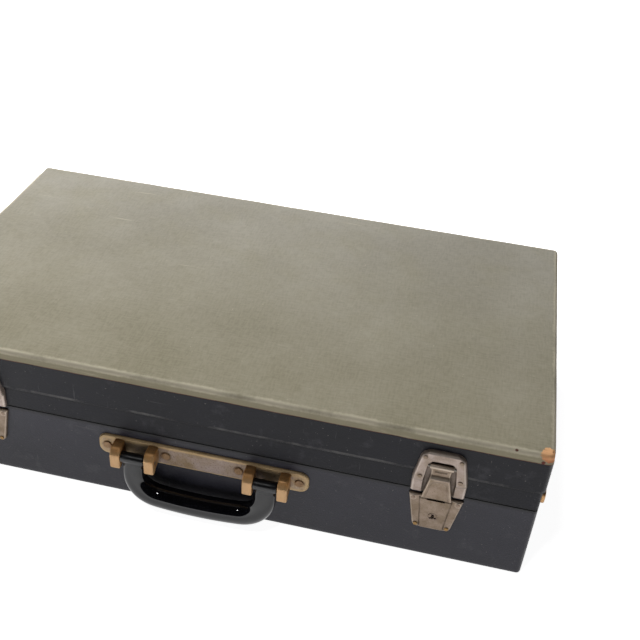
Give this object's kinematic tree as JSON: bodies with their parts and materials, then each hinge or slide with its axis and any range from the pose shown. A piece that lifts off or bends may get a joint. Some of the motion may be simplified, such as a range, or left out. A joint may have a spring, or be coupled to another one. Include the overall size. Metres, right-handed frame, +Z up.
{
  "type": "trumpet case",
  "caption": "Hard-sided trumpet case: hinged lid, two locking hasp latches, swinging carry handle, lined inside with trumpet rests and a lidded accessory box.",
  "frame": {"origin": "centre of the underside, on the surface the closed case lies on", "axes": "+X along the case's length, front with handle and latches toward -Y, +Z up through the lid"},
  "size_m": [0.5544, 0.3325, 0.138],
  "materials": {
    "plywood": "plain",
    "board_wood": "plain",
    "black_leathercloth": "grained satin",
    "grey_cloth": "plain weave, aged",
    "plush": "short pile",
    "plush_block": "short pile",
    "aged_brass": "aged, pitted",
    "aged_nickel": "aged satin",
    "bright_brass": "satin",
    "steel": "satin",
    "black_plastic": "gloss",
    "strip_board": "plain",
    "tab_leather": "satin"
  },
  "bodies": {
    "base": {"base_bottom_panel": "plywood", "base_front_board": "board_wood", "base_rear_board": "board_wood", "base_left_board": "board_wood", "base_right_board": "board_wood", "base_side_covering": "black_leathercloth", "base_bottom_covering": "black_leathercloth", "base_lining": "plush", "long_partition": "plush_block", "accessory_box_left_end": "plush_block", "accessory_box_right_end": "plush_block", "mouthpiece_block": "plush_block", "bell_cradle": "plush_block", "valve_bed": "plush_block", "slide_rest": "plush_block", "handle_plate": "aged_brass", "handle_pins": "steel", "handle_plate_rivets": "bright_brass", "lock_plate_left": "aged_nickel", "lock_plate_right": "aged_nickel", "lock_case_left": "steel", "lock_case_right": "steel", "lock_plate_rivets": "bright_brass", "hinge_base_leaf_left": "steel", "hinge_base_leaf_right": "steel", "hinge_pin_left": "steel", "hinge_pin_right": "steel", "base_hinge_rivets": "steel"},
    "lid": {"lid_top_panel": "plywood", "lid_front_board": "board_wood", "lid_rear_board": "board_wood", "lid_left_board": "board_wood", "lid_right_board": "board_wood", "lid_band_hoop": "strip_board", "lid_upper_covering": "black_leathercloth", "lid_lower_covering": "black_leathercloth", "lid_top_cloth": "grey_cloth", "lid_pad": "plush", "lid_wall_lining": "plush", "end_plate_left": "bright_brass", "end_plate_right": "bright_brass", "end_plate_nails": "bright_brass", "latch_plate_left": "aged_nickel", "latch_plate_right": "aged_nickel", "latch_plate_rivets": "bright_brass", "hasp_pin_left": "steel", "hasp_pin_right": "steel", "hinge_lid_leaf_left": "steel", "hinge_lid_leaf_right": "steel", "lid_hinge_rivets": "steel"},
    "hasp_left": {"hasp_left": "aged_nickel"},
    "hasp_right": {"hasp_right": "aged_nickel"},
    "key_left": {"key_plug_left": "steel"},
    "key_right": {"key_plug_right": "steel"},
    "catch_left": {"catch_left": "steel"},
    "catch_right": {"catch_right": "steel"},
    "handle": {"handle": "black_plastic"},
    "accessory_lid": {"accessory_lid": "plush_block", "accessory_lid_pins": "steel", "accessory_lid_tab": "tab_leather"}
  },
  "joints": [
    {"name": "lid_hinge", "type": "hinge", "parent": "base", "child": "lid", "pos_m": [0, 0.1539, 0.0766], "axis": [-1, 0, 0], "range_deg": [0, 105]},
    {"name": "handle_swing", "type": "hinge", "parent": "base", "child": "handle", "pos_m": [0, -0.1627, 0.0564], "axis": [-1, 0, 0], "range_deg": [0, 165]},
    {"name": "accessory_lid_hinge", "type": "hinge", "parent": "base", "child": "accessory_lid", "pos_m": [0.1584, 0.1376, 0.05945], "axis": [-1, 0, 0], "range_deg": [0, 90]},
    {"name": "hasp_left_hinge", "type": "hinge", "parent": "lid", "child": "hasp_left", "pos_m": [-0.194, -0.1555, 0.108], "axis": [-1, 0, 0], "range_deg": [0, 150]},
    {"name": "key_left_turn", "type": "hinge", "parent": "base", "child": "key_left", "pos_m": [-0.194, -0.1509, 0.0508], "axis": [0, -1, 0], "range_deg": [0, 90]},
    {"name": "catch_left_slide", "type": "slide", "parent": "base", "child": "catch_left", "axis": [0, 0, 1], "range_m": [0, 0.003]},
    {"name": "hasp_right_hinge", "type": "hinge", "parent": "lid", "child": "hasp_right", "pos_m": [0.194, -0.1555, 0.108], "axis": [-1, 0, 0], "range_deg": [0, 150]},
    {"name": "key_right_turn", "type": "hinge", "parent": "base", "child": "key_right", "pos_m": [0.194, -0.1509, 0.0508], "axis": [0, -1, 0], "range_deg": [0, 90]},
    {"name": "catch_right_slide", "type": "slide", "parent": "base", "child": "catch_right", "axis": [0, 0, 1], "range_m": [0, 0.003]}
  ],
  "couplings": [
    {"joint": "key_left_turn", "follows": "catch_left_slide", "rad_per_m": 523.59},
    {"joint": "key_right_turn", "follows": "catch_right_slide", "rad_per_m": 523.59}
  ]
}
